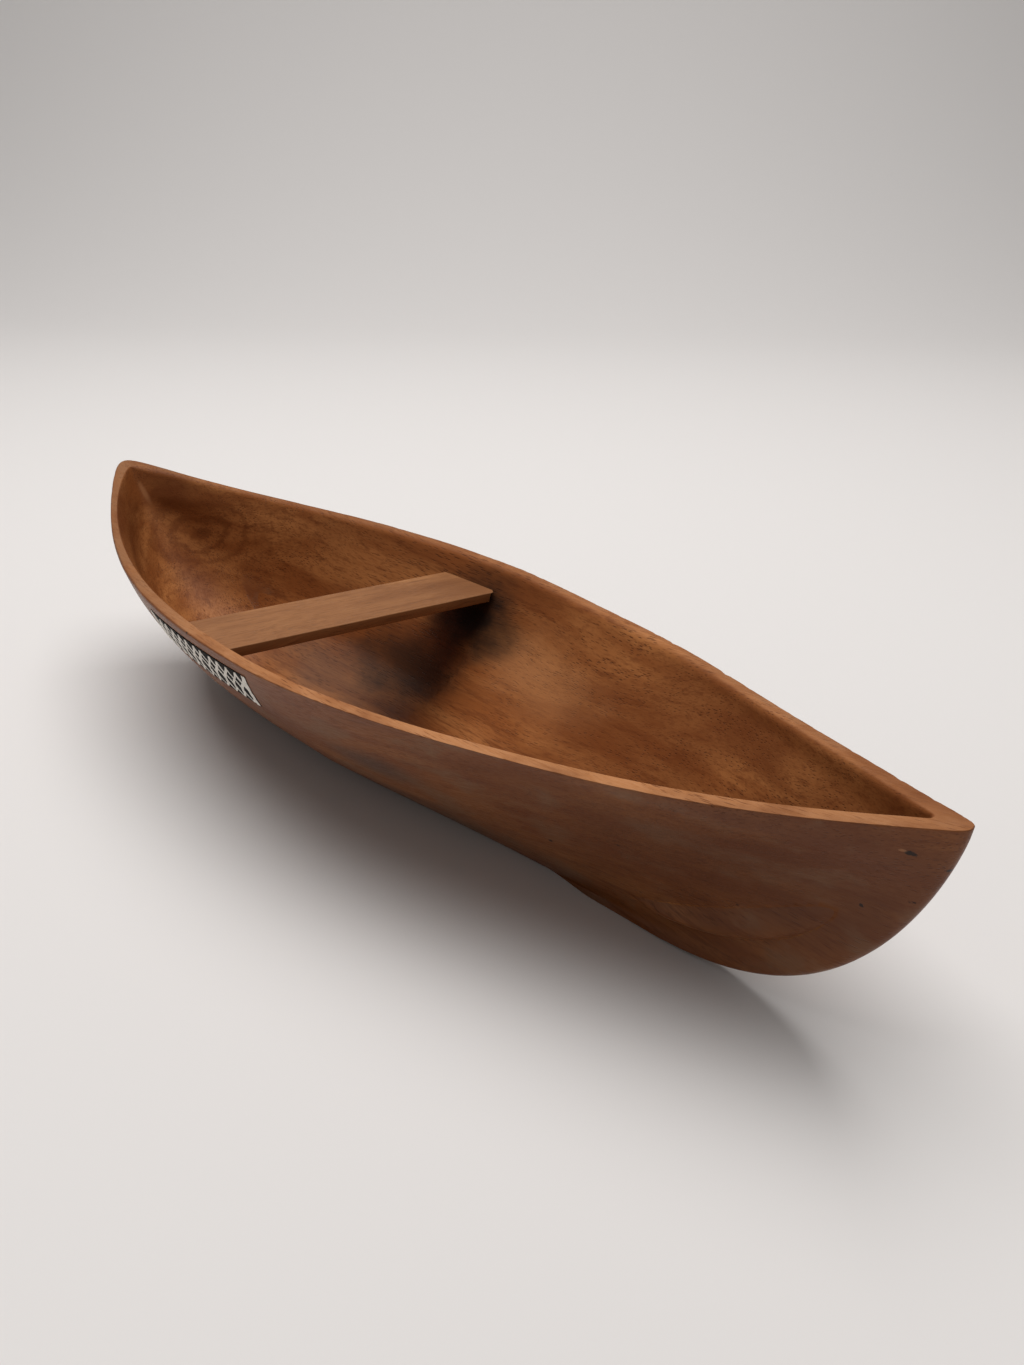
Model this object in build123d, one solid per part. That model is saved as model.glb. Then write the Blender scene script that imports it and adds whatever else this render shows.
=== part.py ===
from build123d import *
from math import atan2, cos, degrees, exp, pi
import os

# A small boat carved from one block of hardwood, used as a vessel for incense. It stands on a narrow
# flat under its keel. +X points to the bow, +Y to the far side and +Z up. The origin is on the flat,
# in the middle of the boat's length. All sizes are in millimetres.

# Overall sizes
length = 350.0
beam = 110.6  # across the rim at its widest
depth = 61.5  # from the flat to the rim at its lowest
bow_rise = 11.5  # how far the rim climbs from its lowest to the bow tip
stern_rise = 13.2
bow_sweep = 2.76  # a higher power keeps the climb nearer to the tip
stern_sweep = 4.7

# Carving thicknesses
wall = 4.3
floor_thickness = 8.0
bow_solid = 8.7  # solid wood left at the bow tip
stern_solid = 5.4

# Outline seen from above: where it is widest, and two powers for each end's curve
widest_x = -9.6
bow_curve = (1.52, 0.9)
stern_curve = (2.43, 0.9)

# The hollow's own curves, at the rim and at its bottom
hollow_bow_curve = (1.59, 0.956)
hollow_stern_curve = (2.29, 0.793)
hollow_low_bow_curve = (1.42, 2.05)
hollow_low_stern_curve = (2.9, 0.75)

# Hand work: ahead of the middle the far side is fuller and the near side flatter
far_fullness = 2.4
near_flatness = 0.9
fullness_x = 74.0
fullness_reach = 34.0

# The flat under the keel, which has the same kind of outline
flat_half_breadth = 10.0
flat_widest_x = -35.0
flat_bow_x = 83.5
flat_stern_x = -88.0
flat_bow_curve = (1.38, 2.15)
flat_stern_curve = (3.28, 0.734)

# Profile of the two ends and the swell of the sides
stem_power = 1.44
stem_fullness = 3.46
stern_power = 1.18
stern_fullness = 2.2
upright_height = 92.0  # the height at which the sides would stand upright
side_power = 1.78
hollow_roundness = 1.42  # above 1, the hollow's bottom is rounder than the keel
bow_nose_radius = 2.0
stern_nose_radius = 4.0
hollow_nose_radius = 0.8
hollow_floor_half_breadth = 2.0

# Seat board: a plank laid across the hollow, a little askew and lower at its far end
board_width = 25.0
board_thickness = 3.3
board_x = -30.0  # its middle
board_skew = 8.6  # degrees off square, far end towards the bow
board_near_drop = 1.2  # its top below the rim's lowest, at the near wall
board_far_drop = 8.0
board_corner_radius = 2.0  # at the end of its forward edge, on the far side

# Painted panel under the rim, on both sides
paint_thickness = 0.25
stroke_thickness = 0.2
panel_length = 61.0
panel_height = 16.5
panel_below_rim = 4.7  # from the rim's lowest to the panel's top edge
panel_x = -46.0  # its middle
panel_lean = 8.0  # how far the bottom edge is shifted towards the stern
net_pitch = 4.8  # from one diamond of the net to the next, along the boat
net_rows = 2  # staggered rows of whole diamonds
net_line = 1.3  # width of an off-white stroke, along the boat
end_band = 1.8  # the off-white band that closes each end of the net
border_line = 0.8  # the black line left along the top and the bottom

# How finely the shapes are drawn
level_count = 8
level_bunching = 1.7  # above 1, the levels lie closer together near the keel
outline_points = 11
rim_points = 21
loft_headroom = 3.0  # the block rises this far above the higher tip before the rim is cut

block_top = depth + max(bow_rise, stern_rise) + loft_headroom


def swell(share, power, fullness):
    """A curve that runs from 0 to 1, steep at first and level at its end."""
    share = min(max(share, 0.0), 1.0)
    return (1 - (1 - share) ** power) ** (1 / fullness)


def blend(low, high, share):
    return low + (high - low) * share


def bow_end(height):
    return blend(flat_bow_x, length / 2, swell(height / (depth + bow_rise), stem_power, stem_fullness))


def stern_end(height):
    return blend(flat_stern_x, -length / 2, swell(height / (depth + stern_rise), stern_power, stern_fullness))


def outside_half_breadth(height):
    share = swell(height / upright_height, side_power, 1) / swell(depth / upright_height, side_power, 1)
    return blend(flat_half_breadth, beam / 2, share)


def hollow_half_breadth(height):
    rise = (height - floor_thickness) / (upright_height - floor_thickness)
    rim_rise = (depth - floor_thickness) / (upright_height - floor_thickness)
    share = swell(rise, side_power, hollow_roundness) / swell(rim_rise, side_power, hollow_roundness)
    return (beam / 2 - wall) * share


def hand_work(x):
    """How much of the hand-made unevenness there is at a place along the boat, from 0 to 1."""
    return exp(-(((x - fullness_x) / fullness_reach) ** 2))


def outline(height, half_breadth, bow, stern, curves, low_curves):
    """A closed leaf-shaped outline at a height. bow and stern are each an end's x and nose radius."""
    share = min(max(height / depth, 0.0), 1.0)
    middle_x = blend(widest_x, flat_widest_x, (1 - share) ** 4)
    (bow_x, bow_nose), (stern_x, stern_nose) = bow, stern
    bow_x = bow_x - bow_nose
    stern_x = stern_x + stern_nose
    far_side = []
    near_side = []
    for step in range(outline_points):
        x = blend(stern_x, bow_x, (1 - cos(pi * step / (outline_points - 1))) / 2)
        ahead = x > middle_x
        run = (x - middle_x) / (bow_x - middle_x) if ahead else (middle_x - x) / (middle_x - stern_x)
        curve = curves[0] if ahead else curves[1]
        low_curve = low_curves[0] if ahead else low_curves[1]
        power = blend(low_curve[0], curve[0], share)
        taper = blend(low_curve[1], curve[1], share)
        nose = bow_nose if ahead else stern_nose
        y = nose + (half_breadth - nose) * (1 - min(run, 1.0) ** power) ** taper
        fullness = share * hand_work(x) * (1 - min(run, 1.0) ** 4)
        far_side.append((x, y + far_fullness * fullness, height))
        near_side.append((x, near_flatness * fullness - y, height))
    bow_arc = ThreePointArc((bow_x, bow_nose, height), (bow_x + bow_nose, 0, height), (bow_x, -bow_nose, height))
    stern_arc = ThreePointArc(
        (stern_x, -stern_nose, height), (stern_x - stern_nose, 0, height), (stern_x, stern_nose, height)
    )
    return Face(Wire([Spline(*far_side), bow_arc, Spline(*reversed(near_side)), stern_arc]))


def block(proud=0.0):
    """The outside of the boat up to above its rim, grown outwards by a small allowance."""
    outlines = []
    for level in range(level_count + 1):
        height = block_top * (level / level_count) ** level_bunching
        bow = (bow_end(height) + proud, bow_nose_radius + proud)
        stern = (stern_end(height) - proud, stern_nose_radius + proud)
        half_breadth = outside_half_breadth(height) + proud
        curves = (bow_curve, stern_curve)
        low_curves = (flat_bow_curve, flat_stern_curve)
        outlines.append(outline(height, half_breadth, bow, stern, curves, low_curves))
    return loft(outlines)


def hollow():
    """The space carved out of the block, drawn as a solid that rises above the rim."""
    outlines = []
    for level in range(level_count + 1):
        height = blend(floor_thickness, block_top + loft_headroom, (level / level_count) ** level_bunching)
        outside_height = depth * (height - floor_thickness) / (depth - floor_thickness)
        bow = (bow_end(outside_height) - bow_solid, hollow_nose_radius)
        stern = (stern_end(outside_height) + stern_solid, hollow_nose_radius)
        half_breadth = max(hollow_half_breadth(height), hollow_floor_half_breadth)
        curves = (hollow_bow_curve, hollow_stern_curve)
        low_curves = (hollow_low_bow_curve, hollow_low_stern_curve)
        outlines.append(outline(height, half_breadth, bow, stern, curves, low_curves))
    return loft(outlines)


def sheer_height(x):
    """Height of the rim at a place along the boat."""
    share = abs(x) / (length / 2)
    if x > 0:
        return depth + bow_rise * share**bow_sweep
    return depth + stern_rise * share**stern_sweep


def above_rim():
    """Everything that is cut away above the rim."""
    reach = length / 2 + loft_headroom
    points = [blend(-reach, reach, step / (rim_points - 1)) for step in range(rim_points)]
    rim_line = Spline(*[(x, 0, sheer_height(x)) for x in points])
    cut_top = block_top + 3 * loft_headroom
    over = Polyline(rim_line @ 1, (reach, 0, cut_top), (-reach, 0, cut_top), rim_line @ 0)
    side_view = Face(Wire([rim_line, *over.edges()]))
    return extrude(side_view, amount=beam, both=True, dir=(0, 1, 0))


def hull():
    return block() - hollow() - above_rim()


def seat_board():
    """A plank with its ends shaped to the hollow's two walls and one corner rounded off."""
    middle_z = depth - (board_near_drop + board_far_drop) / 2
    tilt = degrees(atan2(board_near_drop - board_far_drop, beam))
    plank = Box(board_width, 2 * beam, board_thickness, align=(Align.CENTER, Align.CENTER, Align.MAX))
    place = Location((board_x, 0, middle_z), (tilt, 0, 0)) * Location((0, 0, 0), (0, 0, -board_skew))
    board = place * plank & hollow()
    corner = board.edges().filter_by(lambda edge: edge.length < 2 * board_thickness)
    return fillet(corner.sort_by(lambda edge: edge.center().X + edge.center().Y)[-1], board_corner_radius)


def panel_outline(inset=0.0):
    """The leaning panel seen from the side, drawn in the upright plane along the keel."""
    low = depth - panel_below_rim - panel_height
    return [leaning_point(x, low + z) for x, z in (
        (-panel_length / 2, inset),
        (panel_length / 2, inset),
        (panel_length / 2, panel_height - inset),
        (-panel_length / 2, panel_height - inset),
    )]


def leaning_point(x, z):
    """A point of the panel, shifted towards the stern as it goes down."""
    middle_z = depth - panel_below_rim - panel_height / 2
    return (panel_x + x + panel_lean * (z - middle_z) / panel_height, z)


def flat_shape(corners):
    """An upright face along the keel through these corners, each an x and a z."""
    return Face(Wire(Polyline(*[(x, 0, z) for x, z in corners], close=True).edges()))


def net_cells():
    """The leaning diamonds that the net leaves open, seen from the side, in staggered rows."""
    low = depth - panel_below_rim - panel_height + border_line
    row_height = (panel_height - 2 * border_line) / ((net_rows + 1) / 2)
    room = panel_length - 2 * end_band
    columns = int(room / net_pitch)
    open_share = 1 - net_line / net_pitch
    half_width = net_pitch / 2 * open_share
    half_height = row_height / 2 * open_share
    cells = []
    for row in range(net_rows):
        stagger = row % 2
        middle_z = low + (row + 1) * row_height / 2
        for column in range(columns - stagger):
            x = (column + 0.5 + stagger / 2 - columns / 2) * net_pitch
            corners = ((x - half_width, middle_z), (x, middle_z - half_height))
            corners += ((x + half_width, middle_z), (x, middle_z + half_height))
            cells.append(flat_shape([leaning_point(*corner) for corner in corners]))
    return cells


def painted(shape, under, over, side):
    """A film of paint with this side view, on the near side (-1) or the far side (1) of the boat."""
    return (extrude(shape, amount=beam, dir=(0, side, 0)) & over) - under


def painted_net(under, over, side):
    film = painted(flat_shape(panel_outline(border_line)), under, over, side)
    return film - [extrude(cell, amount=beam, dir=(0, side, 0)) for cell in net_cells()]


def main():
    os.makedirs("parts", exist_ok=True)
    wood = block()
    ground_skin = block(paint_thickness)
    net_skin = block(paint_thickness + stroke_thickness)
    nodes = {"hull": hull(), "seat_board": seat_board()}
    for name, side in (("near", -1), ("far", 1)):
        nodes["panel_ground_" + name] = painted(flat_shape(panel_outline()), wood, ground_skin, side)
        nodes["panel_net_" + name] = painted_net(ground_skin, net_skin, side)
    for name, node in nodes.items():
        export_step(node, f"parts/{name}.step")


main()
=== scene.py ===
# %% [markdown]
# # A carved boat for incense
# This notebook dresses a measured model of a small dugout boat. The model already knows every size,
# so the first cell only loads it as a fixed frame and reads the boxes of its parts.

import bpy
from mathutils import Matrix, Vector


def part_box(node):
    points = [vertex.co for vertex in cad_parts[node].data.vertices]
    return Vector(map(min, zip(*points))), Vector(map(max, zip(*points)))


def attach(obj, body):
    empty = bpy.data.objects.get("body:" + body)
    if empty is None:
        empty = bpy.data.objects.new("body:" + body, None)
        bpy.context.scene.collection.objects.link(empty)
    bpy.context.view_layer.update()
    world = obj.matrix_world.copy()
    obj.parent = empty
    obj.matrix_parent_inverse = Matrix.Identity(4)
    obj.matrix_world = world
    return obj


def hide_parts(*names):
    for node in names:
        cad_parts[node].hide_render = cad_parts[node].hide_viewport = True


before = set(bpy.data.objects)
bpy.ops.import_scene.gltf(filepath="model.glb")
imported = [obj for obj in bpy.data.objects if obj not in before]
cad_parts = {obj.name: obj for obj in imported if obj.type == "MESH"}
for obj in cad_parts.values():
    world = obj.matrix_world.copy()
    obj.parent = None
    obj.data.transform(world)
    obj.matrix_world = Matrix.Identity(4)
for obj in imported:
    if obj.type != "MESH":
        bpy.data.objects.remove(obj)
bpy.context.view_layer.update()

import math

import bmesh
import bpy
import numpy as np
from mathutils import Euler, Matrix, Vector, noise

hull_low, hull_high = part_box("hull")
board_low, board_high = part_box("seat_board")
paint_low, paint_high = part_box("panel_ground_near")
print("hull box", tuple(hull_low), tuple(hull_high))
print("board box", tuple(board_low), tuple(board_high))

# %% [markdown]
# ## The boat's proportions
# A carver thinks of three lines: the outline seen from above, the profile of the two ends, and the
# swell of the sides. Each is one short formula, so the whole hull can be drawn again at any fineness.
# The alternative is to smooth the measured mesh, but its triangles are uneven, and chips in the rim
# need an even grid.

# %% Lengths taken from the frame and the carver's proportions
mm = 0.001
bow_tip, stern_tip = hull_high[0], hull_low[0]
half_length = (bow_tip - stern_tip) / 2
half_beam = 55.3 * mm
bow_rise = 11.5 * mm
stern_rise = 13.2 * mm
rim_height = hull_high[2] - stern_rise
wall = 4.3 * mm
floor_height = 8 * mm
bow_solid = 8.7 * mm
stern_solid = 5.4 * mm
upright_height = 92 * mm
flat_half_breadth = 10 * mm
flat_bow_x = 83.5 * mm
flat_stern_x = -88 * mm
widest_x = -9.6 * mm
flat_widest_x = -35 * mm
bow_sweep = 2.76
stern_sweep = 4.7


def blend(low, high, share):
    return low + (high - low) * share


def swell(share, power, fullness):
    """A curve from 0 to 1, steep at first and level at its end."""
    share = np.clip(share, 0, 1)
    return (1 - (1 - share) ** power) ** (1 / fullness)


def rim_line(x):
    """Height of the rim along the boat."""
    share = np.abs(x) / half_length
    return rim_height + np.where(x > 0, bow_rise * share**bow_sweep, stern_rise * share**stern_sweep)


print(f"length {2 * half_length / mm:.0f} mm, beam {2 * half_beam / mm:.0f} mm")

# %% [markdown]
# ## The carver's curves
# The bow and the stern bend inward on their way down to the keel, and the sides swell outward on
# their way up. The outside and the hollow are the same kind of leaf, which is why the wall of a well
# carved boat is nearly even. Ahead of the middle the far side came out a little fuller than the near.
# A round tip is added to each end of a leaf, and it fades out along the side. Inside the stern it's
# much rounder low down than at the rim, because a gouge can't cut a sharp valley across the grain.

# %% Curves of the outside and of the hollow
far_fullness = 2.4 * mm
near_flatness = 0.9 * mm
fullness_x = 74 * mm
fullness_reach = 34 * mm
stem_power, stem_fullness = 1.44, 3.46
stern_power, stern_fullness = 1.18, 2.2
side_power = 1.78
hollow_roundness = 1.42
hollow_floor_half = 2 * mm
tip_fade = 2.5
narrowest_share = 0.6


def bow_end(z):
    return blend(flat_bow_x, bow_tip, swell(z / (rim_height + bow_rise), stem_power, stem_fullness))


def stern_end(z):
    share = swell(z / (rim_height + stern_rise), stern_power, stern_fullness)
    return blend(flat_stern_x, stern_tip, share)


def outside_limits(z):
    share = swell(z / upright_height, side_power, 1) / swell(rim_height / upright_height, side_power, 1)
    return bow_end(z), stern_end(z), blend(flat_half_breadth, half_beam, share)


def hollow_limits(z):
    rise = (z - floor_height) / (upright_height - floor_height)
    rim_rise = (rim_height - floor_height) / (upright_height - floor_height)
    share = swell(rise, side_power, hollow_roundness) / swell(rim_rise, side_power, hollow_roundness)
    like_outside = rim_height * (z - floor_height) / (rim_height - floor_height)
    half = np.maximum((half_beam - wall) * share, hollow_floor_half)
    return bow_end(like_outside) - bow_solid, stern_end(like_outside) + stern_solid, half


# Each surface: its limits, its tip radii in millimetres (at the rim and low down), and its power and
# taper at the rim and at the bottom. Within each group the bow comes first and the stern second.
outside = (outside_limits, ((2, 2), (4, 4)), ((1.52, 0.9), (2.43, 0.9)), ((1.38, 2.15), (3.28, 0.734)))
hollow = (hollow_limits, ((0.8, 3), (0.8, 14)), ((1.59, 0.956), (2.29, 0.793)), ((1.42, 2.05), (2.9, 0.75)))


def tip_radii(z, surface):
    """How round the bow and the stern tips are at a height."""
    share = np.clip(z / rim_height, 0, 1) ** 3
    half = surface[0](z)[2]
    return [np.minimum(blend(low, rim, share) * mm, narrowest_share * half) for rim, low in surface[1]]


def leaf(x, z, surface, side):
    """Breadth of a surface from the keel line out to one side (-1 near, 1 far)."""
    limits, _, rim_curves, low_curves = surface
    bow, stern, half = limits(z)
    bow_radius, stern_radius = tip_radii(z, surface)
    share = np.clip(z / rim_height, 0, 1)
    middle = blend(widest_x, flat_widest_x, (1 - share) ** 4)
    ahead = x > middle
    run = np.clip(np.where(ahead, (x - middle) / (bow - middle), (middle - x) / (middle - stern)), 0, 1)

    def curve(part):
        fore, aft = (blend(low_curves[end][part], rim_curves[end][part], share) for end in (0, 1))
        return np.where(ahead, fore, aft)

    power, taper = curve(0), curve(1)
    radius = np.where(ahead, bow_radius, stern_radius)
    to_tip = np.maximum(np.where(ahead, bow - x, x - stern), 0)
    rounding = 2 * radius * to_tip * np.exp(-to_tip / (tip_fade * radius))
    hand = share * np.exp(-(((x - fullness_x) / fullness_reach) ** 2)) * (1 - run**4)
    breadth = np.sqrt((half * (1 - run**power) ** taper) ** 2 + rounding)
    return breadth + np.where(side > 0, far_fullness, -near_flatness) * hand


print("half breadth amidships", round(float(leaf(0.0, rim_height, outside, 1)) / mm, 1), "mm")

# %% [markdown]
# ## Rings around the hull
# The hull is drawn as rings stacked on each other: up the outside, over the rim and down the hollow.
# Every ring has the same number of points, so neighbours join into clean four-sided faces. A ring's
# end depends on the rim's height there, and the height on the end, so a few rounds settle the two.

# %% One ring at a share of the rim's height
side_points = 310
even_share = 0.18
settling_rounds = 12


def spread(count):
    """Places from 0 to 1 along a side, much closer together near its two ends."""
    even = np.linspace(0, 1, count)
    return even_share * even + (1 - even_share) * (1 - np.cos(np.pi * even)) / 2


def ring(share, base, surface):
    """A closed ring whose height is this share of the way from the base to the rim."""
    ends = []
    for end, tip in ((0, bow_tip), (1, stern_tip)):
        for _ in range(settling_rounds):
            tip = float(surface[0](blend(base, rim_line(np.float64(tip)), share))[end])
        ends.append(tip)
    x = blend(ends[1], ends[0], spread(side_points))
    z = blend(base, rim_line(x), share)
    far = np.stack([x, leaf(x, z, surface, 1), z], 1)
    near = np.stack([x, -leaf(x, z, surface, -1), z], 1)[::-1]
    far[[0, -1], 1] = 0
    return np.concatenate([far, near[1:-1]])


print("points in a ring", len(ring(1.0, 0.0, outside)))

# %% [markdown]
# ## Uneven hand work
# A knife and a gouge leave slow waves in a surface, and a sanded rim still has small chips along its
# sharp outer edge. Both are smooth noise sampled in space: long waves for the gouge, short ones for
# the chips. Moving real points keeps the unevenness in the outline, where a bump map can't reach.

# %% Smooth noise for whole arrays of points
def waves(points, size, seed):
    """Smooth noise between about -1 and 1 at each point, with bumps about this size."""
    shift = Vector((seed * 7.3, seed * 3.1, seed * 5.7))
    return np.array([noise.noise(Vector(point) / size + shift) for point in points.tolist()])


def chips(points, size, seed, quiet=0.2):
    """Zero on most of an edge and up to 1 where a chip is missing."""
    return np.clip((waves(points, size, seed) - quiet) / (1 - quiet), 0, 1)


print("noise sample", round(waves(np.full((1, 3), 0.003), 0.01, 1)[0], 3))

# %% [markdown]
# ## The rim
# The rim is a flat sanded band. Its outer edge is crisp and chipped near the bow, and worn round
# towards the stern, where hands hold the boat. The far inner edge was eased with a broad stroke of the
# knife, so from inside it rolls over into the wall. Arcs of rings with a varying radius draw all this.

# %% Rings over the rim
edge_steps = 5
flat_steps = 5
# Radii in millimetres: crisp at the bow and worn at the stern, and eased more on the far inner edge
crisp_edge, worn_edge = 0.25, 1.2
bow_chips, stern_chips = 0.9, 0.35
near_inner_edge, far_inner_edge = 0.4, 1.9


def lean_of(top, lower):
    """The way each point of a ring travels for one unit of drop towards the ring below."""
    travel = lower - top
    return travel / -travel[:, 2:]


def rim_rings(outer, inner, outer_lean, inner_lean):
    """Rings from the outside face, over the rim, to the hollow's face."""
    across = inner - outer
    width = np.linalg.norm(across, axis=1, keepdims=True)
    across = across / width
    aft = np.clip((0.02 - outer[:, :1]) / 0.08, 0, 1)
    far = np.clip(outer[:, 1:2] / 0.006, 0, 1)
    wear = 1 + 0.3 * waves(outer, 12 * mm, 3)[:, None]
    rough = chips(outer, 3.2 * mm, 4)[:, None] + 0.7 * chips(outer, 1.3 * mm, 5)[:, None]
    rounded, chipped = blend(crisp_edge, worn_edge, aft) * wear, blend(bow_chips, stern_chips, aft) * rough
    outer_radius = (rounded + chipped) * mm
    uneven = 1 + 0.25 * waves(inner, 22 * mm, 6)[:, None]
    inner_radius = blend(near_inner_edge, far_inner_edge, far) * uneven * mm
    outer_radius = np.minimum(outer_radius, width * 0.42)
    inner_radius = np.minimum(inner_radius, width * 0.45)
    start, end = outer + across * outer_radius, inner - across * inner_radius
    rings = []
    for turn in np.linspace(0, math.pi / 2, edge_steps + 1):
        drop = outer_lean * outer_radius * (1 - math.sin(turn))
        rings.append(start - across * outer_radius * math.cos(turn) + drop)
    for step in range(1, flat_steps):
        rings.append(blend(start, end, step / flat_steps))
    for turn in np.linspace(0, math.pi / 2, edge_steps + 1):
        drop = inner_lean * inner_radius * (1 - math.cos(turn))
        rings.append(end + across * inner_radius * math.sin(turn) + drop)
    return rings


print("rings over the rim", edge_steps * 2 + flat_steps + 1)

# %% [markdown]
# ## Joining the rings
# Rings that follow each other share their neighbours, the two keel lines are folded flat and welded,
# and the body is one closed skin.

# %% Build the hull mesh
outside_steps = 46
hollow_steps = 40
fold_steps = 5
outside_bunching = 1.25
hollow_bunching = 1.15
outer_keep = 2.4 * mm
inner_keep = 3.4 * mm


def folded(first):
    """Rings that close a flat by drawing its two sides onto the keel line."""
    return [first * np.array([1, 1 - step / fold_steps, 1]) for step in range(1, fold_steps + 1)]


def mesh_from_rings(name, rings):
    count = len(rings[0])
    corner = np.arange(count)
    after = (corner + 1) % count
    faces = []
    for level in range(len(rings) - 1):
        below, above = level * count, (level + 1) * count
        faces.extend(np.stack([below + corner, below + after, above + after, above + corner], 1).tolist())
    mesh = bpy.data.meshes.new(name)
    mesh.from_pydata(np.concatenate(rings).tolist(), [], faces)
    return mesh


def tidy(mesh, gap):
    """Welds points that coincide, drops faces with no area, and faces everything outward."""
    work = bmesh.new()
    work.from_mesh(mesh)
    bmesh.ops.remove_doubles(work, verts=work.verts, dist=gap)
    bmesh.ops.dissolve_degenerate(work, edges=work.edges, dist=gap / 4)
    bmesh.ops.recalc_face_normals(work, faces=work.faces)
    work.to_mesh(mesh)
    work.free()
    mesh.shade_smooth()


def add_piece(name, mesh):
    piece = bpy.data.objects.new(name, mesh)
    bpy.context.scene.collection.objects.link(piece)
    return piece


def levels(count, power, top_share):
    """Shares of the height, close together near the bottom, ending just under the rim's round."""
    return np.linspace(0, 1, count + 1) ** power * top_share


outer_top = 1 - outer_keep / rim_height
inner_top = 1 - inner_keep / (rim_height - floor_height)
outside_rings = [ring(share, 0.0, outside) for share in levels(outside_steps, outside_bunching, outer_top)]
hollow_levels = levels(hollow_steps, hollow_bunching, inner_top)[::-1]
hollow_rings = [ring(share, floor_height, hollow) for share in hollow_levels]
outer_edge, inner_edge = ring(1.0, 0.0, outside), ring(1.0, floor_height, hollow)
outer_lean, inner_lean = lean_of(outer_edge, outside_rings[-1]), lean_of(inner_edge, hollow_rings[0])
over_rim = rim_rings(outer_edge, inner_edge, outer_lean, inner_lean)
hull_rings = folded(outside_rings[0])[::-1] + outside_rings + over_rim + hollow_rings
hull_rings += folded(hollow_rings[-1])
hull_mesh = mesh_from_rings("carved_hull", hull_rings)
tidy(hull_mesh, 0.02 * mm)
print("hull faces", len(hull_mesh.polygons))

# %% [markdown]
# ## Waves left by the gouge
# The outside was scraped nearly smooth and the hollow is rougher. Each point moves along its own
# normal by a slow wave, less near the rim so that the band keeps its even width. Two values are kept
# on the points for the finish: how much a point belongs to the rim, and whether it's in the hollow.

# %% Shape the waves and mark the rim
def array_of(mesh, what):
    values = np.empty(len(mesh.vertices) * 3)
    mesh.vertices.foreach_get(what, values)
    return values.reshape(-1, 3)


def is_hollow(points):
    """True where a point belongs to the hollow's side of the wall."""
    x, y, z = points.T
    half_wall = (leaf(x, z, outside, y) - leaf(x, z, hollow, y)) / 2
    bow, stern, _ = hollow_limits(z)
    inside = np.abs(y) < leaf(x, z, hollow, y) + half_wall
    return inside & (z > floor_height - 1 * mm) & (x < bow + 1 * mm) & (x > stern - 1 * mm)


def carve(mesh):
    places, normals = array_of(mesh, "co"), array_of(mesh, "normal")
    in_hollow = is_hollow(places)
    below_rim = rim_line(places[:, 0]) - places[:, 2]
    room = np.clip(below_rim / (9 * mm), 0, 1) * np.clip(places[:, 2] / (6 * mm), 0, 1)
    slow, quick = waves(places, 55 * mm, 11), waves(places, 16 * mm, 12)
    depth = (np.where(in_hollow, 0.45, 0.3) * slow + np.where(in_hollow, 0.2, 0.06) * quick) * mm * room
    mesh.vertices.foreach_set("co", (places + normals * depth[:, None]).ravel())
    mesh.update()
    flat_top = np.clip((normals[:, 2] - 0.75) / 0.2, 0, 1) * np.clip(1 - below_rim / (1.5 * mm), 0, 1)
    for name, value in (("rim", flat_top), ("hollow", in_hollow.astype(float))):
        mesh.attributes.new(name, "FLOAT", "POINT").data.foreach_set("value", value)
    return float(np.abs(depth).max())


print("deepest wave", round(carve(hull_mesh) / mm, 2), "mm")
hull = add_piece("carved_hull", hull_mesh)

# %% [markdown]
# ## The seat board
# The seat is one thin sawn plank, let in between the two walls a little askew, flush with the near rim
# and lower at its far end, where one corner is rounded and a hair of a gap is left. It's drawn as a
# rounded section swept from wall to wall. Each line of the sweep walks until it meets the hollow.

# %% Build the seat board
board_width = 25 * mm
board_thickness = 3.3 * mm
board_edge = 0.3 * mm
board_corner = 2.2 * mm
board_fall = 6.8 * mm
far_gap = 0.35 * mm
board_middle = Vector((-30 * mm, 0, rim_height - 4.6 * mm))
board_tilt = math.atan2(-board_fall, 2 * half_beam)
board_place = (Matrix.Translation(board_middle) @ Matrix.Rotation(board_tilt, 4, "X")
               @ Matrix.Rotation(math.radians(-8.6), 4, "Z"))


def board_section():
    """Points around the plank's cross-section: across the boat's length, and down."""
    half = board_width / 2 - board_edge
    deep = board_thickness - board_edge
    points = [(x, 0.0) for x in np.linspace(-half, half, 16)]
    for turn in np.linspace(math.pi / 2, 0, 5)[1:]:
        points.append((half + board_edge * math.cos(turn), board_edge * (1 - math.sin(turn))))
    for turn in np.linspace(0, -math.pi / 2, 5):
        points.append((half + board_edge * math.cos(turn), deep - board_edge * math.sin(turn)))
    points += [(x, board_thickness) for x in np.linspace(half, -half, 16)[1:]]
    for turn in np.linspace(-math.pi / 2, -math.pi, 5)[1:]:
        points.append((-half + board_edge * math.cos(turn), deep - board_edge * math.sin(turn)))
    for turn in np.linspace(math.pi, math.pi / 2, 5)[:-1]:
        points.append((-half + board_edge * math.cos(turn), board_edge * (1 - math.sin(turn))))
    return points


def reach_to_wall(across, down, side):
    """How far the board runs from the keel line to one wall."""
    reach = half_beam
    for _ in range(40):
        spot = board_place @ Vector((across, side * reach, -down))
        reach += 0.8 * (float(leaf(spot.x, spot.z, hollow, side)) - abs(spot.y))
    into_corner = max(0.0, across - board_width / 2 + board_corner)
    cut = board_corner - math.sqrt(max(board_corner**2 - into_corner**2, 0))
    return reach + 0.3 * mm if side < 0 else reach - far_gap - cut


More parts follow.
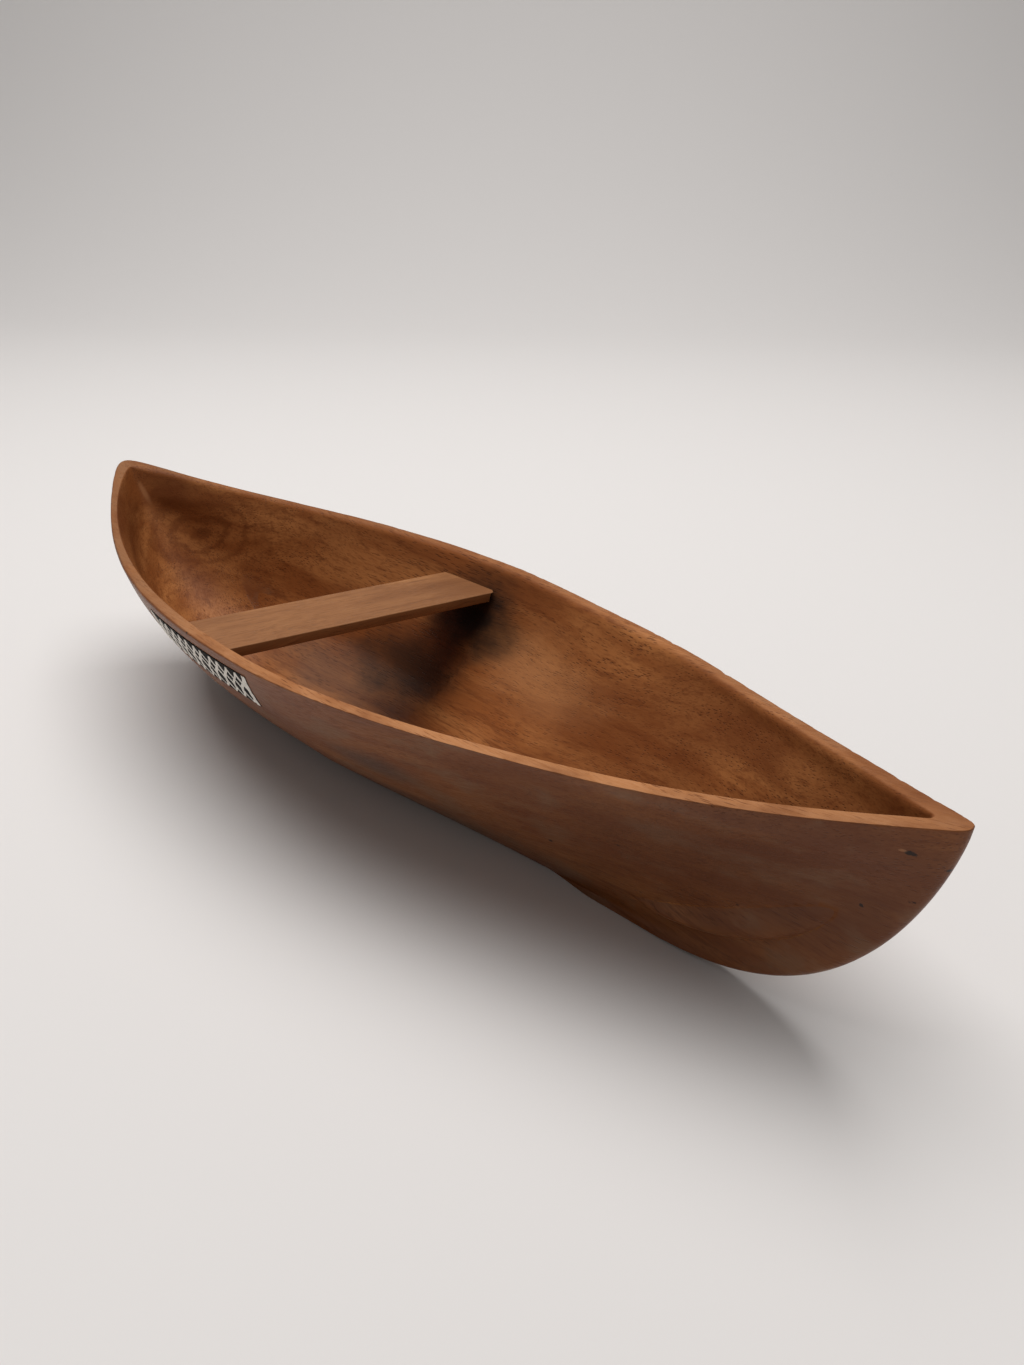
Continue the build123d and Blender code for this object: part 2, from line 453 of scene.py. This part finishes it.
def build_board():
    section = board_section()
    reaches = [(reach_to_wall(*point, -1), reach_to_wall(*point, 1)) for point in section]
    rings = []
    for share in np.linspace(0, 1, 61):
        ring_points = []
        for (across, down), (near, far) in zip(section, reaches):
            ring_points.append(tuple(board_place @ Vector((across, blend(-near, far, share), -down))))
        rings.append(np.array(ring_points))
    mesh = mesh_from_rings("seat_board_plank", rings)
    work = bmesh.new()
    work.from_mesh(mesh)
    bmesh.ops.holes_fill(work, edges=[edge for edge in work.edges if edge.is_boundary], sides=0)
    bmesh.ops.triangulate(work, faces=[face for face in work.faces if len(face.verts) > 4])
    bmesh.ops.recalc_face_normals(work, faces=work.faces)
    work.to_mesh(mesh)
    work.free()
    mesh.shade_smooth()
    mesh.set_sharp_from_angle(angle=math.radians(40))
    return mesh


board = add_piece("seat_board_plank", build_board())
print("board faces", len(board.data.polygons))

# %% [markdown]
# ## The painted panel
# Under each rim sits a black band with an off-white net brushed over it. Paint has a little body, so
# each stroke is a thin solid laid on the hull's own curve. An image texture would be quicker, but the
# strokes would lose their raised edges.

# %% Lay a flat shape onto the hull's side
panel_top = paint_high[2]
panel_height = paint_high[2] - paint_low[2]
panel_lean = 8 * mm
panel_length = paint_high[0] - paint_low[0] - panel_lean
panel_middle = (paint_low[0] + paint_high[0]) / 2


def on_side(along, up, proud, side):
    """A point of the panel on the hull: along it from its middle, and up from its lower edge."""
    x = panel_middle + along + panel_lean * (up / panel_height - 0.5)
    z = panel_top - panel_height + up
    return Vector((x, side * (float(leaf(x, z, outside, side)) + proud), z))


def stroke(path, widths, under, height, side):
    """Points and faces of one rounded stroke of paint that follows a path on the panel."""
    points, faces = [], []
    for index, (along, up) in enumerate(path):
        before, after = path[max(index - 1, 0)], path[min(index + 1, len(path) - 1)]
        run = Vector((after[0] - before[0], after[1] - before[1])).normalized()
        across = Vector((-run.y, run.x)) * widths[index] / 2
        for share, rise in ((-1, 0), (-0.7, 0.85), (0, 1), (0.7, 0.85), (1, 0)):
            place = (along + across.x * share, up + across.y * share)
            points.append(on_side(*place, under + height * rise, side))
    last = (len(path) - 1) * 5
    for start in range(0, last, 5):
        for lane in range(5):
            following = (lane + 1) % 5
            faces.append((start + lane, start + following, start + 5 + following, start + 5 + lane))
    faces += [tuple(range(5)), tuple(last + lane for lane in range(4, -1, -1))]
    return points, faces


print("panel", round(panel_length / mm), "by", round(panel_height / mm, 1), "mm")

# %% [markdown]
# ## The net of strokes
# The painter pulled two families of slanting strokes over the black. They bow a little, so the dark
# leaves between them are pointed ovals, and a broad stroke closes each end. Every stroke swells in its
# middle and thins out at its ends, as a loaded brush does.

# %% Paint the ground and the net
net_pitch = 4.8 * mm
net_rows = 2
border = 0.8 * mm
stroke_width = 1.3 * mm
stroke_bow = 0.42 * mm
path_steps = 14


def ground_data(side):
    columns, lanes = 90, 16
    wide = lanes + 1
    points, faces = [], []
    for proud in (-0.15 * mm, 0.2 * mm):
        for column in range(columns + 1):
            for lane in range(wide):
                along = blend(-panel_length / 2, panel_length / 2, column / columns)
                points.append(on_side(along, blend(0, panel_height, lane / lanes), proud, side))
    size = (columns + 1) * wide
    for column in range(columns):
        for lane in range(lanes):
            corner = column * wide + lane
            quad = (corner, corner + 1, corner + wide + 1, corner + wide)
            faces += [quad, tuple(size + index for index in reversed(quad))]
    border_loop = [column * wide for column in range(columns + 1)]
    border_loop += [columns * wide + lane for lane in range(1, wide)]
    border_loop += [column * wide + lanes for column in range(columns - 1, -1, -1)]
    border_loop += list(range(lanes - 1, 0, -1))
    for corner, following in zip(border_loop, border_loop[1:] + border_loop[:1]):
        faces.append((corner, following, size + following, size + corner))
    return points, faces


def net_data(side):
    points, faces = [], []

    def lay(path, widths, height):
        more, joined = stroke(path, widths, 0.1 * mm, height, side)
        faces.extend(tuple(len(points) + index for index in face) for face in joined)
        points.extend(more)

    low, high = border, panel_height - border
    half = panel_length / 2 - border
    sweep = net_pitch * (net_rows + 1) / 2
    for way in (-1, 1):
        for number in range(-2, int(panel_length / net_pitch) + 3):
            foot = -panel_length / 2 + number * net_pitch + 0.35 * mm * math.sin(number * 2.7 + way)
            path = []
            for share in np.linspace(0, 1, path_steps + 1):
                phase = 2 * math.pi * share * (net_rows + 1) / 2 + 0.4 * math.sin(number * 1.9)
                bow = stroke_bow * math.sin(phase)
                along = foot + way * (sweep * share + bow)
                if abs(along) <= half:
                    path.append((along, blend(low, high, share)))
            if len(path) > 3:
                load = 1 + 0.22 * math.sin(number * 4.1 + way * 1.3)
                swells = [math.sin(math.pi * (i + 0.7) / (len(path) + 0.4)) for i in range(len(path))]
                widths = [stroke_width * load * (0.62 + 0.38 * fuller) for fuller in swells]
                lay(path, widths, (0.27 + 0.04 * way) * mm)
    for end, width in ((-1, 1.6 * mm), (1, 2.3 * mm)):
        heights = np.linspace(0.2 * mm, panel_height, path_steps)
        path = [(end * (panel_length / 2 - width / 2), up) for up in heights]
        lay(path, [width * (0.85 + 0.15 * math.sin(i * 1.7)) for i in range(path_steps)], 0.33 * mm)
    return points, faces


def paint_piece(name, data):
    mesh = bpy.data.meshes.new(name)
    mesh.from_pydata([tuple(point) for point in data[0]], [], data[1])
    tidy(mesh, 0.001 * mm)
    mesh.set_sharp_from_angle(angle=math.radians(50))
    return add_piece(name, mesh)


sides = (("near", -1), ("far", 1))
grounds = {name: paint_piece("painted_ground_" + name, ground_data(side)) for name, side in sides}
nets = {name: paint_piece("painted_net_" + name, net_data(side)) for name, side in sides}
print("net faces", len(nets["near"].data.polygons))

# %% [markdown]
# ## A short hand for shader nodes
# A material is a graph of small nodes. These helpers add one node, set its inputs by name and hand
# back its output, so that each finish below reads as a few sentences.

# %% Helpers for materials
def start_material(name):
    material = bpy.data.materials.new(name)
    material.use_nodes = True
    return material, material.node_tree, material.node_tree.nodes["Principled BSDF"]


def add_node(tree, kind, options=None, inputs=None):
    made = tree.nodes.new(kind)
    for name, value in (options or {}).items():
        setattr(made, name, value)
    for name, value in (inputs or {}).items():
        if isinstance(value, bpy.types.NodeSocket):
            tree.links.new(value, made.inputs[name])
        elif value is not None:
            made.inputs[name].default_value = value
    return made


def maths(tree, operation, first, second=None):
    return add_node(tree, "ShaderNodeMath", {"operation": operation}, {0: first, 1: second}).outputs[0]


def vectors(tree, operation, first, second, output="Vector"):
    made = add_node(tree, "ShaderNodeVectorMath", {"operation": operation}, {0: first, 1: second})
    return made.outputs[output]


def place_of(tree):
    return add_node(tree, "ShaderNodeTexCoord").outputs["Object"]


def stretched(tree, place, scale, turn=(0, 0, 0)):
    """Coordinates turned a little and stretched by three factors."""
    turned = add_node(tree, "ShaderNodeVectorRotate", {"rotation_type": "EULER_XYZ"},
                      {"Vector": place, "Rotation": turn})
    return vectors(tree, "MULTIPLY", turned.outputs[0], scale)


def clouds(tree, place, detail=3.0, roughness=0.5, distortion=0.0):
    inputs = {"Vector": place, "Scale": 1.0, "Detail": detail, "Roughness": roughness,
              "Distortion": distortion}
    return add_node(tree, "ShaderNodeTexNoise", None, inputs).outputs["Fac"]


def spread_over(tree, value, low, high, to_low=0.0, to_high=1.0):
    """Stretches a value between two limits onto another range, softly."""
    inputs = {"Value": value, "From Min": low, "From Max": high, "To Min": to_low, "To Max": to_high}
    made = add_node(tree, "ShaderNodeMapRange", {"interpolation_type": "SMOOTHSTEP"}, inputs)
    return made.outputs["Result"]


def tint(tree, amount, below, above, how="MIX"):
    """Mixes two colours by an amount."""
    made = add_node(tree, "ShaderNodeMix", {"data_type": "RGBA", "blend_type": how}, {"Factor": amount})
    for socket, value in ((made.inputs[6], below), (made.inputs[7], above)):
        if isinstance(value, bpy.types.NodeSocket):
            tree.links.new(value, socket)
        else:
            socket.default_value = (*value, 1.0)
    return made.outputs[2]


print("node helpers ready")

# %% [markdown]
# ## Wood that is solid all the way through
# The boat was cut from one block, so its grain runs through it in three dimensions: a streak seen on
# the outside comes out again in the hollow. Object coordinates give exactly that. Growth layers are
# slow bands, fibres are noise drawn out along the boat, and the pores of an open-grained tropical
# wood are short dark dashes.

# %% Grain, pores and colour of wood
def wood_nodes(tree, dark, middle, light, turn=(0, 0, 0), pore_strength=1.0):
    """The wood's colour, its pores (1 in a pore) and its fibre value."""
    place = place_of(tree)
    bend = clouds(tree, stretched(tree, place, (7, 16, 16)), 2.0)
    push = vectors(tree, "MULTIPLY", bend, (0.0, 0.014, 0.02))
    warped = vectors(tree, "ADD", place, push)
    bands = clouds(tree, stretched(tree, warped, (8, 75, 110), turn), 4.0, 0.55, 0.3)
    streaks = clouds(tree, stretched(tree, warped, (20, 420, 520), turn), 5.0, 0.7)
    fibre = clouds(tree, stretched(tree, warped, (130, 1500, 1500), turn), 3.0, 0.6)
    patches = clouds(tree, stretched(tree, place, (16, 26, 26), turn), 3.0, 0.5)
    colour = tint(tree, spread_over(tree, bands, 0.36, 0.66), middle, light)
    colour = tint(tree, spread_over(tree, patches, 0.62, 0.36, 0, 0.5), colour, dark)
    colour = tint(tree, spread_over(tree, streaks, 0.5, 0.68, 0, 0.6), colour, dark)
    colour = tint(tree, spread_over(tree, fibre, 0.45, 0.7, 0, 0.42), colour, dark)
    dashes = stretched(tree, warped, (170, 1900, 1900), turn)
    cells = add_node(tree, "ShaderNodeTexVoronoi", {"feature": "F1"},
                     {"Vector": dashes, "Scale": 1.0, "Randomness": 1.0})
    where = clouds(tree, stretched(tree, warped, (35, 170, 170), turn), 3.0)
    pores = maths(tree, "MULTIPLY", spread_over(tree, cells.outputs["Distance"], 0.38, 0.16),
                  spread_over(tree, where, 0.35, 0.65, 0.15, pore_strength))
    deep = tuple(0.3 * value for value in dark)
    return tint(tree, maths(tree, "MULTIPLY", pores, 0.6), colour, deep), pores, fibre


def finish_wood(tree, shader, colour, pores, fibre, roughness, rim=None):
    """Joins colour, sheen and relief to the shader."""
    tree.links.new(colour, shader.inputs["Base Color"])
    rough = spread_over(tree, fibre, 0.25, 0.75, *roughness)
    relief = maths(tree, "SUBTRACT", maths(tree, "MULTIPLY", fibre, 0.45), pores)
    if rim is not None:
        rough = maths(tree, "ADD", rough, maths(tree, "MULTIPLY", rim, 0.25))
        grit = clouds(tree, stretched(tree, place_of(tree), (900, 1500, 1500)), 4.0, 0.7)
        relief = maths(tree, "ADD", relief, maths(tree, "MULTIPLY", maths(tree, "MULTIPLY", grit, rim), 2.2))
    tree.links.new(rough, shader.inputs["Roughness"])
    bump = add_node(tree, "ShaderNodeBump", None, {"Height": relief, "Strength": 0.5, "Distance": 0.12 * mm})
    tree.links.new(bump.outputs[0], shader.inputs["Normal"])


print("wood helpers ready")

# %% [markdown]
# ## Marks that sit at one place
# A stain, a knot, a pin mark or a patch of painted shade or highlight is a soft-edged distance from a
# point of the hull. Cloudy noise added to the distance breaks its edge. The light line inside the stern
# is the distance from a segment.

# %% Spots and lines on the hull
def distance_from(tree, place, centre, size, wobble=None):
    """0 at a centre and 1 at this size away from it, in each direction."""
    millimetres = [tuple(value * mm for value in group) for group in (centre, size)]
    scaled = vectors(tree, "DIVIDE", vectors(tree, "SUBTRACT", place, millimetres[0]), millimetres[1])
    away = vectors(tree, "LENGTH", scaled, None, "Value")
    return away if wobble is None else maths(tree, "ADD", away, wobble)


def spot(tree, colour, place, centre, size, strength, paint, wobble=None, soft=0.6):
    """Lays one soft spot of another colour over a colour."""
    away = distance_from(tree, place, centre, size, wobble)
    return tint(tree, spread_over(tree, away, 1 + soft / 2, 1 - soft, 0, strength), colour, paint)


def line_mask(tree, place, start, end, width):
    """1 along a straight line between two places, given in millimetres."""
    first, last = Vector(start) * mm, Vector(end) * mm
    run = last - first
    offset = vectors(tree, "SUBTRACT", place, tuple(first))
    aside = vectors(tree, "CROSS_PRODUCT", offset, tuple(run.normalized()))
    beside = vectors(tree, "LENGTH", aside, None, "Value")
    along = vectors(tree, "DOT_PRODUCT", offset, tuple(run.normalized()), "Value")
    ends = maths(tree, "MULTIPLY", spread_over(tree, along, -2 * mm, 2 * mm),
                 spread_over(tree, along, run.length, 0.5 * run.length))
    return maths(tree, "MULTIPLY", spread_over(tree, beside, width * mm, 0.2 * width * mm), ends)


print("spot helpers ready")

# %% [markdown]
# ## The hull's finish
# This block has a knot with rings near the stern, a dark patch under the seat that is partly a stain
# and partly painted shadow of the board, a scatter of small dark pin marks, and a pale sanded rim that
# hands have darkened near the stern. The outside is painted darker than the hollow, mostly as painted
# shade, with mottled patches of painted sheen, and a pale patch on the far inner wall is a painted
# highlight. Each mark is one line of a list, so it's easy to move.

# %% Finish the hull
dark_wood = (0.135, 0.036, 0.009)
middle_wood = (0.255, 0.082, 0.022)
light_wood = (0.40, 0.155, 0.048)
# Pale sanded wood for the rim, also used for a painted highlight in the hollow.
sanded_wood_and_highlight = (0.45, 0.205, 0.088)
handled_wood = (0.19, 0.085, 0.038)
# Grey-brown for mottled patches of painted sheen on the outside.
painted_sheen_wood = (0.20, 0.105, 0.055)
# Near black for the knot's eye and for the patch under the seat board, which is partly painted shadow.
dark_stain_and_shadow = (0.009, 0.0075, 0.007)
# Grey for a stain on the outside and for part of the painted shadow under the seat board.
grey_stain_and_shadow = (0.06, 0.05, 0.045)
pitch_black = (0.014, 0.006, 0.003)
knot_eye = (0.06, 0.018, 0.006)
# Darker wood for painted shade on the outside of the bow.
painted_shade_wood = tuple(0.6 * value for value in dark_wood)
knot_place = (-143, 12, 48.5)

# Marks in millimetres: centre, size, strength and colour
inner_marks = (
    ((112, 21, 58), (16, 9, 8), 0.5, dark_wood),
    ((-157, 9, 64), (12, 8, 9), 0.6, dark_wood),
    # This mark and the next two are the dark patch under the seat board: partly a stain, partly painted
    # shadow of the board.
    ((-64, 13, 15), (38, 18, 12), 0.5, grey_stain_and_shadow),
    ((-35, 25, 24), (27, 19, 15), 0.75, dark_stain_and_shadow),
    ((-14, 42, 44), (20, 16, 16), 0.97, dark_stain_and_shadow),
    ((-140, -18, 60), (34, 16, 22), 0.65, dark_wood),
)
outer_marks = (
    ((22.5, -35, 34), (17, 14, 8), 0.55, grey_stain_and_shadow),
    ((67.8, -24, 35), (9, 8, 4), 0.45, dark_wood),
)
pin_marks = (
    ((48, 27.6, 39.6), (0.9, 0.9, 0.9)),
    ((96, -15.2, 34.1), (2.2, 1.5, 0.6)),
    ((125.9, -4.4, 26.1), (1.0, 1.5, 0.9)),
    ((156.6, -2.8, 43.6), (0.8, 1.5, 0.8)),
    ((167.2, -1.5, 50.5), (1.4, 2, 0.8)),
    ((165.6, -5.3, 64.3), (1.9, 1.6, 1.0)),
    ((71.8, -14, 22.3), (1.6, 1.5, 1.0)),
    ((-40.9, -53.6, 61.5), (0.8, 1.2, 1.2)),
    ((172.5, -0.8, 61.2), (0.9, 1.5, 0.7)),
)
pin_shrink = 0.75


def knot(tree, colour, place, ragged):
    """Rings of darker growth around a small dark eye."""
    away = distance_from(tree, place, knot_place, (31, 27, 18), maths(tree, "MULTIPLY", ragged, 0.6))
    rings = maths(tree, "SINE", maths(tree, "MULTIPLY", away, 21.0))
    near = spread_over(tree, away, 1.5, 0.35)
    shade = maths(tree, "MULTIPLY", spread_over(tree, rings, -0.2, 1.0, 0, 0.5), near)
    colour = tint(tree, shade, colour, dark_wood)
    colour = spot(tree, colour, place, knot_place, (3.6, 3.2, 2.1), 0.6, knot_eye, ragged, 0.9)
    return spot(tree, colour, place, knot_place, (1.3, 1.3, 1.0), 0.9, dark_stain_and_shadow)


def hull_finish():
    material, tree, shader = start_material("hull_wood")
    colour, pores, fibre = wood_nodes(tree, dark_wood, middle_wood, light_wood)
    place = place_of(tree)
    broad = maths(tree, "SUBTRACT", clouds(tree, stretched(tree, place, (45, 70, 70)), 4.0, 0.6), 0.5)
    ragged = maths(tree, "MULTIPLY", broad, 1.3)
    rim = add_node(tree, "ShaderNodeAttribute", {"attribute_name": "rim"}).outputs["Fac"]
    in_hollow = add_node(tree, "ShaderNodeAttribute", {"attribute_name": "hollow"}).outputs["Fac"]
    # Painted shade: the outside is mixed towards dark wood, so it is darker than the hollow.
    outer = tint(tree, 0.45, colour, dark_wood)
    # Mottled patches of painted sheen on the outside.
    outer = tint(tree, spread_over(tree, broad, -0.02, 0.16, 0, 0.55), outer, painted_sheen_wood)
    colour = tint(tree, in_hollow, outer, colour)
    inner = knot(tree, colour, place, ragged)
    # A painted highlight: a pale patch on the far inner wall.
    inner = spot(tree, inner, place, (24, 36, 37), (30, 15, 13), 0.5, sanded_wood_and_highlight, ragged, 0.9)
    # The inner marks include painted shadow under the seat board.
    for centre, size, strength, paint in inner_marks:
        inner = spot(tree, inner, place, centre, size, strength, paint, ragged, 0.8)
    groove = line_mask(tree, place, (-173.4, 0.8, 73.4), (-155.5, 2, 53), 1.5)
    inner = tint(tree, maths(tree, "MULTIPLY", groove, 0.5), inner, sanded_wood_and_highlight)
    colour = tint(tree, in_hollow, colour, inner)
    # Painted shade on the near side of the bow's outside.
    colour = spot(tree, colour, place, (135, -20, 38), (70, 30, 34), 0.6, painted_shade_wood, ragged, 0.9)
    for centre, size, strength, paint in outer_marks:
        colour = spot(tree, colour, place, centre, size, strength, paint, ragged, 0.8)
    splinters = clouds(tree, stretched(tree, place, (500, 900, 900)), 3.0, 0.6)
    splinters = maths(tree, "MULTIPLY", maths(tree, "SUBTRACT", splinters, 0.5), 2.6)
    for centre, size in pin_marks:
        small = tuple(pin_shrink * value for value in size)
        colour = spot(tree, colour, place, centre, small, 0.95, pitch_black, splinters, 0.3)
    colour = spot(tree, colour, place, (163.6, -6.2, 64.7), (1.0, 1.0, 0.4), 0.5, sanded_wood_and_highlight, splinters)
    sanded = tint(tree, spread_over(tree, fibre, 0.3, 0.75, 0, 0.6), sanded_wood_and_highlight, light_wood)
    sanded = tint(tree, maths(tree, "MULTIPLY", pores, 0.8), sanded, dark_wood)
    along = add_node(tree, "ShaderNodeSeparateXYZ", None, {"Vector": place}).outputs["X"]
    handled = maths(tree, "ADD", spread_over(tree, along, 20 * mm, -110 * mm, 0, 0.7),
                    spread_over(tree, along, 110 * mm, 170 * mm, 0, 0.35))
    sanded = tint(tree, handled, sanded, handled_wood)
    across = add_node(tree, "ShaderNodeSeparateXYZ", None, {"Vector": place}).outputs["Y"]
    worn = maths(tree, "MULTIPLY", spread_over(tree, broad, -0.2, 0.12, 0.35, 0.95),
                 spread_over(tree, across, -3 * mm, 10 * mm, 1.0, 0.5))
    colour = tint(tree, maths(tree, "MULTIPLY", rim, worn), colour, sanded)
    finish_wood(tree, shader, colour, pores, fibre, (0.34, 0.5), rim)
    matt = maths(tree, "MAXIMUM", in_hollow, rim)
    tree.links.new(spread_over(tree, matt, 0.0, 1.0, 0.25, 0.12), shader.inputs["Specular IOR Level"])
    return material


hull.data.materials.append(hull_finish())
print("hull finish", hull.data.materials[0].name)

# %% [markdown]
# ## The board and the paint
# The seat board is a lighter offcut with straight grain along its length, left matt from the saw. The
# paint is thick, slightly uneven and dull.

# %% Finish the board and the paint
board_dark = (0.16, 0.058, 0.018)
board_middle = (0.29, 0.122, 0.044)
board_light = (0.39, 0.175, 0.066)
board_grain = (0, 0, math.radians(-81.4))


def board_finish():
    material, tree, shader = start_material("board_wood")
    colour, pores, fibre = wood_nodes(tree, board_dark, board_middle, board_light, board_grain, 0.6)
    place = place_of(tree)
    ragged = maths(tree, "SUBTRACT", clouds(tree, stretched(tree, place, (90, 90, 90)), 3.0), 0.5)
    colour = spot(tree, colour, place, (-24, 42, 54), (18, 15, 14), 0.6, (0.15, 0.055, 0.018), ragged, 0.8)
    colour = spot(tree, colour, place, (-38, -46, 60), (20, 12, 14), 0.35, (0.2, 0.08, 0.03), ragged, 0.8)
    finish_wood(tree, shader, colour, pores, fibre, (0.48, 0.62))
    shader.inputs["Specular IOR Level"].default_value = 0.2
    return material


def paint_finish(name, colour, wear):
    material, tree, shader = start_material(name)
    mottle = clouds(tree, stretched(tree, place_of(tree), (700, 700, 700)), 3.0, 0.6)
    shade = tint(tree, spread_over(tree, mottle, 0.4, 0.75, 0, 0.4), colour, wear)
    tree.links.new(shade, shader.inputs["Base Color"])
    tree.links.new(spread_over(tree, mottle, 0.2, 0.8, 0.6, 0.85), shader.inputs["Roughness"])
    shader.inputs["Specular IOR Level"].default_value = 0.08
    bump = add_node(tree, "ShaderNodeBump", None, {"Height": mottle, "Strength": 0.3, "Distance": 0.05 * mm})
    tree.links.new(bump.outputs[0], shader.inputs["Normal"])
    return material


board.data.materials.append(board_finish())
black_paint = paint_finish("black_paint", (0.010, 0.009, 0.008), (0.03, 0.025, 0.02))
white_paint = paint_finish("white_paint", (0.85, 0.81, 0.74), (0.62, 0.56, 0.48))
for name in ("near", "far"):
    grounds[name].data.materials.append(black_paint)
    nets[name].data.materials.append(white_paint)
print("finishes", [material.name for material in bpy.data.materials])

# %% [markdown]
# ## A pale sweep of paper
# Small goods are shown on a paper sweep: a floor that curves up into a wall, so no horizon line
# shows. It is one strip bent along an arc behind the boat.

# %% Floor and backdrop
view_turn = -0.8087
toward_camera = Vector((math.cos(view_turn), math.sin(view_turn), 0))
sweep_back = 0.8
sweep_radius = 0.7
sweep_front = 2.2
sweep_width = 6.0
sweep_height = 3.0


def build_sweep():
    aside = Vector((-toward_camera.y, toward_camera.x, 0)) * sweep_width / 2
    profile = [(-sweep_front, 0.0)]
    for turn in np.linspace(0, math.pi / 2, 33):
        profile.append((sweep_back + sweep_radius * math.sin(turn), sweep_radius * (1 - math.cos(turn))))
    profile.append((sweep_back + sweep_radius, sweep_height))
    points, faces = [], []
    for away, up in profile:
        for side in (-1, 1):
            points.append(tuple(aside * side - toward_camera * away + Vector((0, 0, up))))
    for index in range(len(profile) - 1):
        faces.append((2 * index, 2 * index + 1, 2 * index + 3, 2 * index + 2))
    mesh = bpy.data.meshes.new("paper_sweep")
    mesh.from_pydata(points, [], faces)
    mesh.shade_smooth()
    return add_piece("paper_sweep", mesh)


sweep = build_sweep()
paper, _, paper_shader = start_material("pale_paper")
paper_shader.inputs["Base Color"].default_value = (0.72, 0.70, 0.69, 1)
paper_shader.inputs["Roughness"].default_value = 0.85
sweep.data.materials.append(paper)
print("sweep ready")

# %% [markdown]
# ## Light and camera
# One very large soft lamp hangs high above the boat, a little towards the stern. It gives a deep,
# wide-edged shadow right under the hull, and the room itself adds a faint fill. A small hard lamp
# would cut a sharp shadow instead. The camera stands about one boat length away.

# %% Lamps, world and camera
def soft_lamp(name, place, aim, size, power, colour):
    lamp = bpy.data.lights.new(name, "AREA")
    lamp.shape = "RECTANGLE"
    lamp.size, lamp.size_y = size
    lamp.energy = power
    lamp.color = colour
    holder = bpy.data.objects.new(name, lamp)
    bpy.context.scene.collection.objects.link(holder)
    holder.location = place
    holder.rotation_mode = "QUATERNION"
    holder.rotation_quaternion = (Vector(aim) - Vector(place)).to_track_quat("-Z", "Y")


boat_centre = (0, 0, 0.04)
soft_lamp("window", (-0.2, 0.12, 1.25), boat_centre, (1.3, 1.1), 19, (1.0, 0.985, 0.97))
world = bpy.data.worlds.new("room")
world.use_nodes = True
world.node_tree.nodes["Background"].inputs["Color"].default_value = (1.0, 0.98, 0.96, 1)
world.node_tree.nodes["Background"].inputs["Strength"].default_value = 0.21
bpy.context.scene.world = world
bpy.context.scene.view_settings.view_transform = "Standard"

camera_lift = 0.4905
camera_roll = 0.0177
boat_length = 350 * mm
camera_aim = Vector((0.0708, 0.0549, 0.12)) * boat_length
camera_distance = 0.9689 * boat_length
camera_data = bpy.data.cameras.new("camera")
camera_data.sensor_width = 36
camera_data.lens = 28.43
camera_data.clip_start = 0.02
camera = bpy.data.objects.new("camera", camera_data)
bpy.context.scene.collection.objects.link(camera)
outward = toward_camera * math.cos(camera_lift) + Vector((0, 0, math.sin(camera_lift)))
camera.location = camera_aim + outward * camera_distance
camera.rotation_mode = "QUATERNION"
camera.rotation_quaternion = (-outward).to_track_quat("-Z", "Y") @ Euler((0, 0, camera_roll)).to_quaternion()
bpy.context.scene.camera = camera
print("camera at", tuple(round(value, 3) for value in camera.location))

# %% [markdown]
# ## Joining the looks to the frame
# Each piece rides on the boat's one body and stands for the measured piece it covers.

# %% Ride and replace
pieces = [(hull, "hull", "hull_wood"), (board, "seat_board", "board_wood")]
for name in ("near", "far"):
    pieces.append((grounds[name], "panel_ground_" + name, "black_paint"))
    pieces.append((nets[name], "panel_net_" + name, "white_paint"))
for piece, node, slot in pieces:
    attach(piece, "root")
    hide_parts(node)
